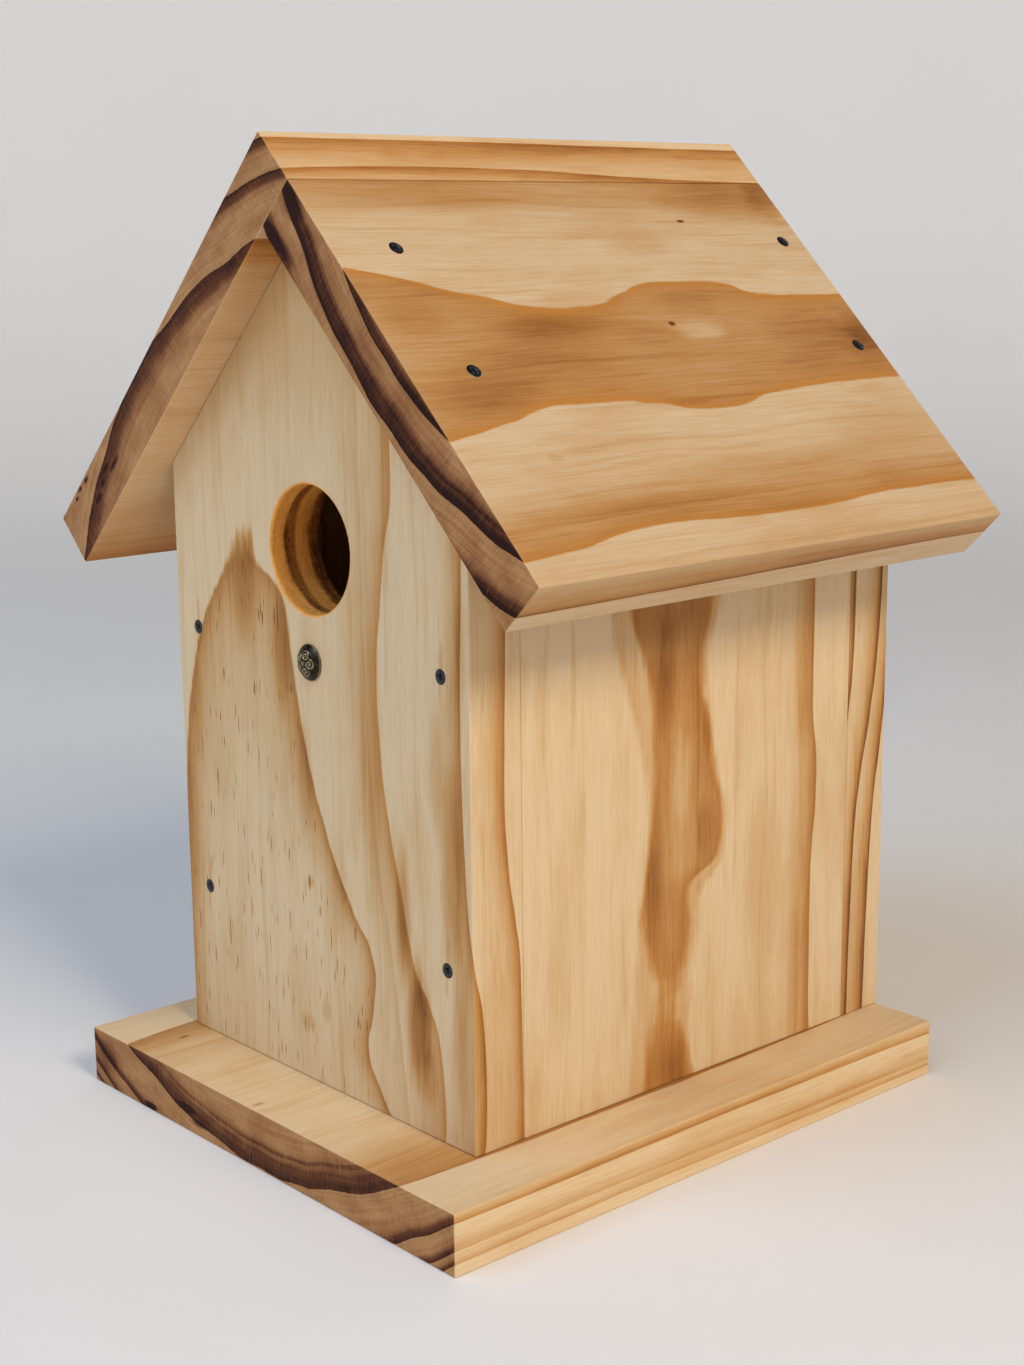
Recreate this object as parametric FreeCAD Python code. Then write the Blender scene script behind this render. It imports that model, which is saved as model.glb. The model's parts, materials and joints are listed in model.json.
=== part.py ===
"""Gabled birdhouse (nest box) of seven pine boards, held together with wood screws.

Millimetres. +X is to the right seen from the front, +Y runs from the front to the
back and +Z is up. The origin is the centre of the base board's underside.
"""
import FreeCAD
import Part
import math
import os

Vector = FreeCAD.Vector

# Boards. All are dressed pine of one thickness.
BOARD = 18.5
ARRIS_RADIUS = 0.6
BASE_WIDTH = 184.0
BASE_DEPTH = 204.0
BODY_WIDTH = 141.5
BODY_DEPTH = 177.0
BODY_SHIFT = -1.0             # the body stands this far off the base's centre line
RIDGE_HEIGHT = 300.5
ROOF_OVERHANG = 13.0          # roof in front of the front panel
LEFT_SLOPE = 166.5            # ridge to eave, down the left slope
RIGHT_SLOPE = BODY_WIDTH + BOARD

# The roof boards meet at a right angle, so both slopes are at 45 degrees.
SLOPE_RUN = math.cos(math.radians(45.0))

# Entrance hole and the ornamental tack under it. Heights are above the base board.
HOLE_RADIUS = 19.05
HOLE_RIM_RADIUS = 0.8
HOLE_HEIGHT = 164.8
TACK_HEIGHT = 131.6
TACK_OFFSET = -1.0            # from the body's centre line
TACK_HEAD_RADIUS = 5.5
TACK_DOME = 2.6
TACK_RIM = 0.5
TACK_SHANK_RADIUS = 0.8
TACK_SHANK_LENGTH = 13.0
TACK_POINT = 2.5

# Trim-head wood screw, all lengths down from the plane of the head's rim.
SCREW_LENGTH = 41.0
SCREW_HEAD_RADIUS = 2.25
SCREW_CROWN = 0.4
SCREW_HEAD_DEPTH = 2.2
SCREW_NECK_RADIUS = 1.3
SCREW_NECK_LENGTH = 16.0
SCREW_THREAD_RADIUS = 1.5     # mean of the thread's crest and root
SCREW_POINT = 3.5
RECESS_RADIUS = 1.2
RECESS_DEPTH = 1.3
RECESS_SIDES = 6

# Screws through the front panel into the side boards, drilled by eye:
# (from the body's centre line, above the base board).
FRONT_SCREWS = {
    "upper_left": (-59.8, 134.4),
    "upper_right": (58.6, 136.3),
    "lower_left": (-59.3, 49.8),
    "lower_right": (59.5, 52.5),
}
BACK_SCREW_INSET = 11.0       # from the back panel's edge
BACK_SCREW_HEIGHTS = {"upper": 135.0, "lower": 51.0}
ROOF_SCREW_SLOPES = {"upper": 45.0, "lower": 90.0}    # down the slope from the ridge
BASE_SCREW_INSET = 35.0       # from the ends of the side boards
BASE_SCREW_SINK = 1.0         # the heads sit this deep in the base's underside

# The house lifts off the base screws, so they run in clearance bores there.
BORE_CLEARANCE = 0.06
BORE_END_GAP = 0.5

# Places worked out from the dimensions above.
REAR = BASE_DEPTH / 2
FRONT = REAR - BODY_DEPTH
ROOF_FRONT = FRONT - ROOF_OVERHANG
BASE_TOP = BOARD
HALF_BODY = BODY_WIDTH / 2
GABLE_PEAK = RIDGE_HEIGHT - BOARD / SLOPE_RUN
SHOULDER = GABLE_PEAK - HALF_BODY
SIDES = {"left": -1, "right": 1}
ENDS = {"front": FRONT + BOARD / 2, "rear": REAR - BOARD / 2}


def roof_point(side, down, under):
    """(x, z) of the point that far down a slope from the ridge and under its outer face."""
    x = BODY_SHIFT + side * (down - under) * SLOPE_RUN
    z = RIDGE_HEIGHT - (down + under) * SLOPE_RUN
    return x, z


def board(outline, start, end):
    """Board with that (x, z) outline from y = start to y = end, its arrises sanded."""
    corners = [Vector(x, start, z) for x, z in outline]
    section = Part.Face(Part.makePolygon(corners + corners[:1]))
    solid = section.extrude(Vector(0, end - start, 0))
    return solid.makeFillet(ARRIS_RADIUS, solid.Edges)


def revolved(profile_edges, axis_top, axis_bottom):
    """Solid of revolution about Z: edges from axis_top round to axis_bottom."""
    closing = Part.LineSegment(axis_bottom, axis_top).toShape()
    section = Part.Face(Part.Wire(profile_edges + [closing]))
    return section.revolve(Vector(0, 0, 0), Vector(0, 0, 1), 360)


def chain(points):
    """Straight edges through the points in turn."""
    return [Part.LineSegment(a, b).toShape() for a, b in zip(points, points[1:])]


def dome_edge(radius, height):
    """Arc from the crown, on the axis, down to the rim at z = 0."""
    sphere = (radius ** 2 + height ** 2) / (2 * height)
    half_angle = math.asin(radius / sphere) / 2
    middle = Vector(sphere * math.sin(half_angle), 0, height - sphere * (1 - math.cos(half_angle)))
    return Part.Arc(Vector(0, 0, height), middle, Vector(radius, 0, 0)).toShape()


def placed(shape, seat, outward):
    """Copy of a fastener drawn along +Z, moved so that its head's rim lies on the seat."""
    turn = FreeCAD.Rotation(Vector(0, 0, 1), outward)
    moved = shape.copy()
    moved.Placement = FreeCAD.Placement(seat, turn)
    return moved


def screw_blank():
    """Trim-head screw without its drive recess. Its pilot hole has the same shape."""
    crown = Vector(0, 0, SCREW_CROWN)
    point = Vector(0, 0, -SCREW_LENGTH)
    below_rim = chain([
        Vector(SCREW_HEAD_RADIUS, 0, 0),
        Vector(SCREW_NECK_RADIUS, 0, -SCREW_HEAD_DEPTH),
        Vector(SCREW_NECK_RADIUS, 0, -SCREW_NECK_LENGTH),
        Vector(SCREW_THREAD_RADIUS, 0, -SCREW_NECK_LENGTH),
        Vector(SCREW_THREAD_RADIUS, 0, SCREW_POINT - SCREW_LENGTH),
        point,
    ])
    return revolved([dome_edge(SCREW_HEAD_RADIUS, SCREW_CROWN)] + below_rim, crown, point)


def drive_recess():
    """Six-sided prism that the driver bit goes into."""
    angles = [math.radians(360.0 / RECESS_SIDES * i) for i in range(RECESS_SIDES)]
    floor = SCREW_CROWN - RECESS_DEPTH
    corners = [Vector(RECESS_RADIUS * math.cos(a), RECESS_RADIUS * math.sin(a), floor) for a in angles]
    outline = Part.Face(Part.makePolygon(corners + corners[:1]))
    return outline.extrude(Vector(0, 0, 2 * RECESS_DEPTH))


def tack_blank():
    """Upholstery tack: domed head with a short straight rim, on a pointed shank."""
    crown = Vector(0, 0, TACK_RIM + TACK_DOME)
    dome = dome_edge(TACK_HEAD_RADIUS, TACK_DOME)
    dome.translate(Vector(0, 0, TACK_RIM))
    point = Vector(0, 0, -TACK_SHANK_LENGTH)
    below_dome = chain([
        Vector(TACK_HEAD_RADIUS, 0, TACK_RIM),
        Vector(TACK_HEAD_RADIUS, 0, 0),
        Vector(TACK_SHANK_RADIUS, 0, 0),
        Vector(TACK_SHANK_RADIUS, 0, TACK_POINT - TACK_SHANK_LENGTH),
        point,
    ])
    return revolved([dome] + below_dome, crown, point)


def front_seats():
    """Seat and outward direction of each screw in the front panel."""
    return {
        f"front_screw_{name}": (Vector(BODY_SHIFT + x, FRONT, BASE_TOP + height), Vector(0, -1, 0))
        for name, (x, height) in FRONT_SCREWS.items()
    }


def back_seats():
    """Seat and outward direction of each screw in the back panel."""
    return {
        f"back_screw_{row}_{name}": (
            Vector(BODY_SHIFT + side * (HALF_BODY - BACK_SCREW_INSET), REAR, BASE_TOP + height),
            Vector(0, 1, 0),
        )
        for row, height in BACK_SCREW_HEIGHTS.items()
        for name, side in SIDES.items()
    }


def roof_seats(name):
    """Seat and outward direction of each screw in one roof board, over the gable panels."""
    side = SIDES[name]
    seats = {}
    for end, y in ENDS.items():
        for row, down in ROOF_SCREW_SLOPES.items():
            x, z = roof_point(side, down, 0)
            seats[f"{name}_roof_screw_{end}_{row}"] = (Vector(x, y, z), Vector(side, 0, 1))
    return seats


def base_seats():
    """Seat and outward direction of each screw that comes up through the base board."""
    side_board_ends = {
        "front": FRONT + BOARD + BASE_SCREW_INSET,
        "rear": REAR - BOARD - BASE_SCREW_INSET,
    }
    return {
        f"base_screw_{end}_{name}": (
            Vector(BODY_SHIFT + side * (HALF_BODY - BOARD / 2), y, BASE_SCREW_SINK),
            Vector(0, 0, -1),
        )
        for end, y in side_board_ends.items()
        for name, side in SIDES.items()
    }


def base_board(seats):
    """Base board with its screw holes, the heads sunk in its underside."""
    left, right = -BASE_WIDTH / 2, BASE_WIDTH / 2
    blank = board([(left, 0), (right, 0), (right, BOARD), (left, BOARD)], -REAR, REAR)
    holes = [placed(screw_blank(), seat, outward) for seat, outward in seats.values()]
    sinks = [
        Part.makeCylinder(SCREW_HEAD_RADIUS, BASE_SCREW_SINK, Vector(seat.x, seat.y, 0))
        for seat, outward in seats.values()
    ]
    return blank.cut(holes + sinks)


def gable_panel(start, end):
    """Front or back panel: a rectangle with a right-angled gable on top."""
    left, right = BODY_SHIFT - HALF_BODY, BODY_SHIFT + HALF_BODY
    outline = [
        (left, BASE_TOP),
        (right, BASE_TOP),
        (right, SHOULDER),
        (BODY_SHIFT, GABLE_PEAK),
        (left, SHOULDER),
    ]
    return board(outline, start, end)


def front_panel(seats):
    """Gable panel with the entrance hole, the tack's hole and its screw holes."""
    before_panel = Vector(BODY_SHIFT, FRONT - BOARD, BASE_TOP + HOLE_HEIGHT)
    entrance = Part.makeCylinder(HOLE_RADIUS, 3 * BOARD, before_panel, Vector(0, 1, 0))
    panel = gable_panel(FRONT, FRONT + BOARD).cut(entrance)
    rims = [edge for edge in panel.Edges if edge.isClosed()]
    panel = panel.makeFillet(HOLE_RIM_RADIUS, rims)
    fasteners = [placed(screw_blank(), seat, outward) for seat, outward in seats.values()]
    return panel.cut(fasteners + [placed(tack_blank(), *tack_seat())])


def back_panel(seats):
    """Plain gable panel with its screw holes."""
    holes = [placed(screw_blank(), seat, outward) for seat, outward in seats.values()]
    return gable_panel(REAR - BOARD, REAR).cut(holes)


def side_board(name, seats, lift_off_seats):
    """Side board between the panels, its top bevelled to lie against the roof board."""
    side = SIDES[name]
    outer, inner = BODY_SHIFT + side * HALF_BODY, BODY_SHIFT + side * (HALF_BODY - BOARD)
    outline = [(inner, BASE_TOP), (outer, BASE_TOP), (outer, SHOULDER), (inner, SHOULDER + BOARD)]
    blank = board(outline, FRONT + BOARD, REAR - BOARD)
    pilots = [placed(screw_blank(), seat, outward) for seat, outward in seats.values()]
    bore_radius = SCREW_THREAD_RADIUS + BORE_CLEARANCE
    bore_top = BASE_SCREW_SINK + SCREW_LENGTH + BORE_END_GAP
    bores = [
        Part.makeCylinder(bore_radius, bore_top, Vector(seat.x, seat.y, 0))
        for seat, outward in lift_off_seats.values()
    ]
    return blank.cut(pilots + bores)


def roof_board(name, top, eave, seats):
    """Roof board between two distances down its slope, with its screw holes."""
    side = SIDES[name]
    corners = [(top, 0), (eave, 0), (eave, BOARD), (top, BOARD)]
    outline = [roof_point(side, down, under) for down, under in corners]
    holes = [placed(screw_blank(), seat, outward) for seat, outward in seats.values()]
    return board(outline, ROOF_FRONT, REAR).cut(holes)


def tack_seat():
    """Where the tack's head rests on the front panel, and its outward direction."""
    seat = Vector(BODY_SHIFT + TACK_OFFSET, FRONT, BASE_TOP + TACK_HEIGHT)
    return seat, Vector(0, -1, 0)


def build():
    """Every piece by its node name."""
    front, back, base = front_seats(), back_seats(), base_seats()
    left_roof, right_roof = roof_seats("left"), roof_seats("right")
    body_screws = {**front, **back}
    all_roof = {**left_roof, **right_roof}

    pieces = {
        "base_board": base_board(base),
        "front_panel": front_panel({**front, **all_roof}),
        "back_panel": back_panel({**back, **all_roof}),
        "left_side": side_board("left", body_screws, base),
        "right_side": side_board("right", body_screws, base),
        "left_roof_board": roof_board("left", 0, LEFT_SLOPE, left_roof),
        "right_roof_board": roof_board("right", BOARD, RIGHT_SLOPE, right_roof),
        "tack": placed(tack_blank(), *tack_seat()),
    }
    screw = screw_blank().cut(drive_recess())
    for node, (seat, outward) in {**body_screws, **all_roof, **base}.items():
        pieces[node] = placed(screw, seat, outward)
    return pieces


os.makedirs("parts", exist_ok=True)
for node, shape in build().items():
    solid = shape.Solids[0]
    print(f"{node}: {solid.Volume / 1000:.2f} cm3, solids {len(shape.Solids)}, valid {solid.isValid()}")
    solid.exportStep(f"parts/{node}.step")
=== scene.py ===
import json
import math
from collections import namedtuple

import bmesh
import bpy
from mathutils import Matrix, Vector


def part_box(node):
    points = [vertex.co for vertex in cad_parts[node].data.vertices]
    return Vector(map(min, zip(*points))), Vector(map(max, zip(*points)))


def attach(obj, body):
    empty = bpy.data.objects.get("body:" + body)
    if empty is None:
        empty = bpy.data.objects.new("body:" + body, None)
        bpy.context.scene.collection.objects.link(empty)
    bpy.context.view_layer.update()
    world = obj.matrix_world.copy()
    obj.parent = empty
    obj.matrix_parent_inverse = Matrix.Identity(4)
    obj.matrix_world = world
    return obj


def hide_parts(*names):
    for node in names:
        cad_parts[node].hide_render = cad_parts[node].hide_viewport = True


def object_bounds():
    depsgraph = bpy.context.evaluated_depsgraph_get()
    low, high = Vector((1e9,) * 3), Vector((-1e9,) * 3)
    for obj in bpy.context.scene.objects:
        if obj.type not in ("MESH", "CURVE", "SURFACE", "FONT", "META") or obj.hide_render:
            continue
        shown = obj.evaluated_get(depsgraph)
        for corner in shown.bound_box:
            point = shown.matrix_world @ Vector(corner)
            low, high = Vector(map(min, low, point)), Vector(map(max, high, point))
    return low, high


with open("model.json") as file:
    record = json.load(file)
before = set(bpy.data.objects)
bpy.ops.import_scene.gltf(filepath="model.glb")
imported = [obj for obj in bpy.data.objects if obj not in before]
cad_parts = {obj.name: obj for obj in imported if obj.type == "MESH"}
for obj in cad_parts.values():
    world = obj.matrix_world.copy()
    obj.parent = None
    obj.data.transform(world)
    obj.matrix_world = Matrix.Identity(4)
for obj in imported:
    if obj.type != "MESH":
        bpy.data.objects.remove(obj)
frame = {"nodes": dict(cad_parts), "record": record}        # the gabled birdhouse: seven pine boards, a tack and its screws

cad_low, cad_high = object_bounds()

# ---------------------------------------------------------------- sizes, from the frame
MM = 0.001
PANEL_LOW, PANEL_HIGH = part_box("front_panel")
BACK_LOW, BACK_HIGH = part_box("back_panel")
BASE_LOW, BASE_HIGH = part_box("base_board")
ROOF_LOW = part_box("left_roof_board")[0]
SIDE_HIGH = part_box("right_side")[1]
LEFT_SIDE_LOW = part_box("left_side")[0]
SIDE_RISE = 0.4 * MM                                    # the sides' figure starts this far
SIDE_TOP = PANEL_HIGH.z - (PANEL_HIGH.x - PANEL_LOW.x) / 2 + SIDE_RISE      # above the shoulder
BOARD = (BASE_HIGH.z - BASE_LOW.z) / MM                 # thickness of every board, mm
CENTRE_X = (PANEL_LOW.x + PANEL_HIGH.x) / 2
RIDGE = Vector((CENTRE_X, ROOF_LOW.y, PANEL_HIGH.z + BOARD * MM * math.sqrt(2)))
DIAGONAL = math.sqrt(0.5)
MOUNTS = {mount["name"]: mount for mount in frame["record"]["mounts"]}
HOLE = Vector(MOUNTS["entrance_hole"]["pos_m"])
HOLE_RADIUS = MOUNTS["entrance_hole"]["dims"]["r_mm"]   # mm

# ---------------------------------------------------------------- colours (linear)
FACE_COLOURS = (                # planed faces: earlywood, then ever denser latewood
    (0.00, (0.725, 0.545, 0.330)),
    (0.20, (0.635, 0.418, 0.208)),
    (0.50, (0.530, 0.272, 0.090)),
    (0.80, (0.345, 0.140, 0.034)),
    (1.00, (0.170, 0.060, 0.016)),
)
AMBER = (0.560, 0.225, 0.036)   # the resin-rich line at a ring's edge
END_COLOURS = (                 # end grain drinks the finish and goes dark
    (0.00, (0.500, 0.262, 0.108)),
    (0.28, (0.330, 0.145, 0.052)),
    (0.62, (0.128, 0.039, 0.014)),
    (1.00, (0.022, 0.005, 0.002)),
)
BORE_COLOURS = (                # the sawn wall of the entrance hole, lighter and more orange as painted light from the lamps
    (0.00, (0.940, 0.430, 0.090)),
    (0.45, (0.620, 0.225, 0.036)),
    (1.00, (0.085, 0.026, 0.007)),
)

BORE_DARKNESS_BY_DEPTH = (                 # how dark the hole's wall is, by depth in mm from the front: dark bands, darkest at the back
    (0.0, 0.08), (4.5, 0.14), (6.0, 0.80), (8.2, 0.72),
    (9.6, 0.22), (12.5, 0.34), (14.5, 0.86), (18.5, 1.0),
)
RING_WAVER = 0.6                # how far, in mm of depth, the rings wander
RING_SWELL = 5.0                # and how much more they wander once they are well inside
SWELL_DEPTH = 7.0
STREAK_DRIFT = 9.0              # how far, in mm, the streaks wander with them
WOOD_SHINE = 0.12               # the shader's specular level
WOOD_RELIEF = 0.14 * MM         # depth of the bump

# A growth ring cut by the board. It crosses the reference face along two lines, left and
# right, each a list of (along, across) points in mm or one number, and it sags below that
# face between them by cup * (across - left) * (right - across). Where right is less than
# left the ring has closed. The wood is dark just inside the ring and pale just outside it:
# `strength` and `fade` (mm of depth) are the dark wood, `rim` and `rim_fade` the amber
# line at its very edge, `soft` the blur and `jag` the raggedness of the edge, in mm.
# `band` (mm) and `end` are the depth and strength of the dark band on end grain.
Ring = namedtuple(
    "Ring", "left right cup fade strength rim rim_fade soft jag band end flecks",
    defaults=(0.0045, 5.0, 0.8, 0.4, 0.5, 0.22, 0.5, 5.0, 0.9, 0.0),
)

# A knot, stain or pale patch on the faces, or a patch of painted shade: its place, its half sizes
# and how much it darkens the wood. `ragged` breaks its outline up along the grain.
Mark = namedtuple(
    "Mark", "across along half_across half_along strength ragged", defaults=(0.5,),
)

# A pitch blotch in the end grain: its place across and into the board, and half sizes.
Blotch = namedtuple("Blotch", "across depth half_across half_depth strength", defaults=(0.9,))

# A board's own coordinates: origin and unit vectors across it, along its grain, and down
# into it from the face that looks towards the tree's heart.
# The tint scales a board's face colour as painted light or shade, for how the lamps fall on that board.
Board = namedtuple(
    "Board", "origin across along depth rings marks blotches tint bored",
    defaults=((), (), (1.0, 1.0, 1.0), False),
)


# ---------------------------------------------------------------- node arithmetic
class Num:
    """A number flowing through a node tree. Arithmetic on it adds Math nodes."""

    def __init__(self, tree, socket):
        self.tree = tree
        self.socket = socket

    def __add__(self, other):
        return self.tree.math("ADD", self, other)

    def __sub__(self, other):
        return self.tree.math("SUBTRACT", self, other)

    def __rsub__(self, other):
        return self.tree.math("SUBTRACT", other, self)

    def __mul__(self, other):
        return self.tree.math("MULTIPLY", self, other)

    def __truediv__(self, other):
        return self.tree.math("DIVIDE", self, other)

    __radd__ = __add__
    __rmul__ = __mul__


class Tree:
    """A material's node tree, with one short call for each kind of node used here."""

    def __init__(self, name):
        self.material = bpy.data.materials.new(name)
        self.material.use_nodes = True
        self.nodes = self.material.node_tree.nodes
        self.links = self.material.node_tree.links
        self.shader = self.nodes["Principled BSDF"]

    def plug(self, value, socket):
        """Feeds a number, a colour or another node's output into a socket."""
        if isinstance(value, Num):
            self.links.new(value.socket, socket)
        elif isinstance(value, bpy.types.NodeSocket):
            self.links.new(value, socket)
        else:
            socket.default_value = value

    def math(self, operation, *values, clamp=False):
        node = self.nodes.new("ShaderNodeMath")
        node.operation = operation
        node.use_clamp = clamp
        for value, socket in zip(values, node.inputs):
            self.plug(value, socket)
        return Num(self, node.outputs[0])

    def smooth(self, value, start, end):
        """0 at start, 1 at end, smooth between and flat beyond. start may be above end."""
        node = self.nodes.new("ShaderNodeMapRange")
        node.interpolation_type = "SMOOTHSTEP"
        self.plug(value, node.inputs["Value"])
        node.inputs["From Min"].default_value = min(start, end)
        node.inputs["From Max"].default_value = max(start, end)
        node.inputs["To Min"].default_value = 0.0 if start < end else 1.0
        node.inputs["To Max"].default_value = 1.0 if start < end else 0.0
        return Num(self, node.outputs["Result"])

    def place(self):
        """The point being shaded, in metres, fixed to the object."""
        return self.nodes.new("ShaderNodeTexCoord").outputs["Object"]

    def along(self, vector, direction):
        """Length of a vector along a direction."""
        node = self.nodes.new("ShaderNodeVectorMath")
        node.operation = "DOT_PRODUCT"
        self.plug(vector, node.inputs[0])
        node.inputs[1].default_value = direction
        return Num(self, node.outputs["Value"])

    def noise(self, x, y, z, detail=2.0, rough=0.5):
        """Noise from 0 to 1 at that place, where one unit is about one blotch."""
        corner = self.nodes.new("ShaderNodeCombineXYZ")
        for value, socket in zip((x, y, z), corner.inputs):
            self.plug(value, socket)
        node = self.nodes.new("ShaderNodeTexNoise")
        self.plug(corner.outputs[0], node.inputs["Vector"])
        node.inputs["Scale"].default_value = 1.0
        node.inputs["Detail"].default_value = detail
        node.inputs["Roughness"].default_value = rough
        return Num(self, node.outputs["Fac"])

    def curve(self, x, points):
        """Smooth curve through (x, y) points."""
        xs = [p[0] for p in points]
        ys = [p[1] for p in points]
        low, high = min(ys), max(ys)
        node = self.nodes.new("ShaderNodeFloatCurve")
        line = node.mapping.curves[0]
        while len(line.points) < len(points):
            line.points.new(0.5, 0.5)
        for point, (px, py) in zip(line.points, points):
            point.location = ((px - xs[0]) / (xs[-1] - xs[0]), (py - low) / (high - low))
        node.mapping.update()
        self.plug((x - xs[0]) / (xs[-1] - xs[0]), node.inputs["Value"])
        return Num(self, node.outputs[0]) * (high - low) + low

    def ramp(self, value, stops):
        node = self.nodes.new("ShaderNodeValToRGB")
        elements = node.color_ramp.elements
        while len(elements) < len(stops):
            elements.new(1.0)
        for element, (place, colour) in zip(elements, stops):
            element.position = place
            element.color = (*colour, 1.0)
        self.plug(value, node.inputs[0])
        return node.outputs[0]

    def mix(self, share, first, second, mode="MIX"):
        node = self.nodes.new("ShaderNodeMix")
        node.data_type = "RGBA"
        node.blend_type = mode
        self.plug(share, node.inputs["Factor"])
        self.plug(first, node.inputs[6])
        self.plug(second, node.inputs[7])
        return node.outputs[2]

    def bump(self, height, distance, strength):
        node = self.nodes.new("ShaderNodeBump")
        node.inputs["Strength"].default_value = strength
        node.inputs["Distance"].default_value = distance
        self.plug(height, node.inputs["Height"])
        self.plug(node.outputs[0], self.shader.inputs["Normal"])


# ---------------------------------------------------------------- wood
Grain = namedtuple("Grain", "across along depth waver jag deep")
Shade = namedtuple("Shade", "body rim end outside")
Texture = namedtuple("Texture", "cloud streak thread fibre pores saw")


def edge_line(tree, along, line):
    """Where a ring crosses the face: a curve along the grain, or one number."""
    return line if isinstance(line, (int, float)) else tree.curve(along, line)


def ring_shade(tree, ring, grain):
    """How dark one ring makes the wood, on faces and on end grain."""
    left = edge_line(tree, grain.along, ring.left)
    right = edge_line(tree, grain.along, ring.right)
    if isinstance(left, (int, float)) and isinstance(right, (int, float)):
        middle, half_squared = (left + right) / 2, (right - left) ** 2 / 4
    else:
        half = (right - left) * 0.5
        middle = (left + right) * 0.5
        half_squared = half * tree.math("ABSOLUTE", half)
    off = grain.across - middle
    sag = (half_squared - off * off) * ring.cup
    outside = grain.depth - sag + grain.waver * RING_WAVER + grain.jag * ring.jag + grain.deep
    inner = tree.math("MINIMUM", outside, 0.0)
    edge = tree.smooth(outside, ring.soft, -ring.soft * 0.5)
    body = tree.math("EXPONENT", inner / ring.fade) * edge
    rim = tree.math("EXPONENT", inner / ring.rim_fade) * edge
    near = tree.math("EXPONENT", inner / (ring.band * 0.6))
    flat = tree.smooth(outside, -ring.band, -ring.band * 0.45)
    end = (near * 0.68 + flat * 0.32) * tree.smooth(outside, 0.25, -0.1)
    return Shade(body * ring.strength, rim * ring.rim, end * ring.end, outside)


def together(tree, shades):
    """Darkness of several overlapping shades, never above 1."""
    light = 1.0 - shades[0]
    for shade in shades[1:]:
        light = light * (1.0 - shade)
    return 1.0 - light


def spot(tree, u, v, ragged):
    """1 in the middle of an ellipse of half size 1, 0 outside its ragged outline."""
    distance = tree.math("SQRT", u * u + v * v)
    return tree.smooth(distance + ragged, 1.0, 0.2)


def board_grain(tree, place, board):
    """The point's place in the board, in mm, and how far the rings wander there."""
    across, along, depth = (
        tree.along(place, axis / MM) - board.origin.dot(axis) / MM
        for axis in (board.across, board.along, board.depth)
    )
    waver = tree.noise(across * 0.035, along * 0.012, depth * 0.035, detail=1.0) - 0.5
    jag = tree.noise(across * 0.40, along * 0.055, depth * 0.45, detail=4.0, rough=0.6) - 0.5
    swell = tree.noise(across * 0.045, along * 0.004, depth * 0.02, detail=1.0) - 0.5
    deep = swell * tree.smooth(depth, 0.0, SWELL_DEPTH) * RING_SWELL
    return Grain(across, along, depth, waver, jag, deep)


def wood_texture(tree, grain):
    """Noises drawn out along the grain, from broad clouds to fine fibres and saw marks."""
    across, along, depth = grain.across, grain.along, grain.depth
    drift = across + grain.waver * STREAK_DRIFT
    return Texture(
        cloud=tree.noise(drift * 0.06, along * 0.014, depth * 0.05, detail=3.0, rough=0.6),
        streak=tree.noise(drift * 0.30, along * 0.0065, depth * 0.3, detail=5.0, rough=0.62),
        thread=tree.noise(drift * 1.5, along * 0.022, depth * 1.5, detail=4.0, rough=0.6),
        fibre=tree.noise(across * 2.6, along * 0.070, depth * 2.6, detail=3.0, rough=0.7),
        pores=tree.noise(across * 2.8, along * 2.0, depth * 2.8, detail=2.0, rough=0.65),
        saw=tree.noise(across * 1.6, along * 0.1, depth * 0.15, detail=2.0),
    )


def resin_dashes(tree, board, grain, shades):
    """Short dark dashes of resin, thick in the wood inside some rings."""
    dash = tree.noise(grain.across * 1.1, grain.along * 0.085, grain.depth * 1.1, detail=1.0)
    resin = tree.smooth(dash, 0.69, 0.76) * 0.07
    for ring, shade in zip(board.rings, shades):
        if ring.flecks:
            inside = tree.smooth(shade.outside, 0.0, -1.0) * ring.flecks
            resin = resin + tree.smooth(dash, 0.66, 0.73) * inside
    return resin


def face_darkness(tree, board, grain, texture, shades, late):
    """How dark the planed faces are, 0 to 1: rings, streaks, fibres, resin and marks."""
    cloud, streak, thread, fibre = texture.cloud, texture.streak, texture.thread, texture.fibre
    amount = late * (0.66 + thread * 0.32 + streak * 0.20 + cloud * 0.16)
    amount = amount + tree.smooth(streak, 0.48, 0.74) * 0.14 + tree.smooth(cloud, 0.42, 0.74) * 0.14
    amount = amount + (thread - 0.5) * 0.16 + (fibre - 0.5) * 0.40 + 0.01
    amount = amount + resin_dashes(tree, board, grain, shades)
    for mark in board.marks:
        u = (grain.across - mark.across) / mark.half_across
        v = (grain.along - mark.along) / mark.half_along
        ragged = (cloud - 0.5) * mark.ragged * 2.0 + (streak - 0.5 + grain.jag) * mark.ragged * 0.8
        amount = amount + spot(tree, u, v, ragged) * mark.strength
    return tree.math("ADD", amount, 0.0, clamp=True)


def end_darkness(tree, board, grain, texture, shades):
    """How dark the end grain is, 0 to 1: rings, pores, saw marks, fine lines and blotches."""
    across, along, depth = grain.across, grain.along, grain.depth
    pores, saw = texture.pores, texture.saw
    late = together(tree, [shade.end for shade in shades])
    mottle = tree.noise(across * 0.09, along * 0.01, depth * 0.16, detail=2.0)
    flow = sum((shade.outside for shade in shades[1:]), shades[0].outside) / len(shades)
    lines = tree.noise(flow * 0.75, across * 0.012, along * 0.01, detail=2.0, rough=0.7)
    amount = late * (0.80 + saw * 0.35) + (pores - 0.5) * 0.42 + (saw - 0.5) * 0.30
    amount = amount + (mottle - 0.42) * 0.50 + (lines - 0.45) * 0.50 + 0.05
    for blotch in board.blotches:
        u = (across - blotch.across) / blotch.half_across
        v = (depth - blotch.depth) / blotch.half_depth
        amount = amount + spot(tree, u, v, (pores - 0.5) * 1.2) * blotch.strength
    return tree.math("ADD", amount, 0.0, clamp=True)


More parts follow.
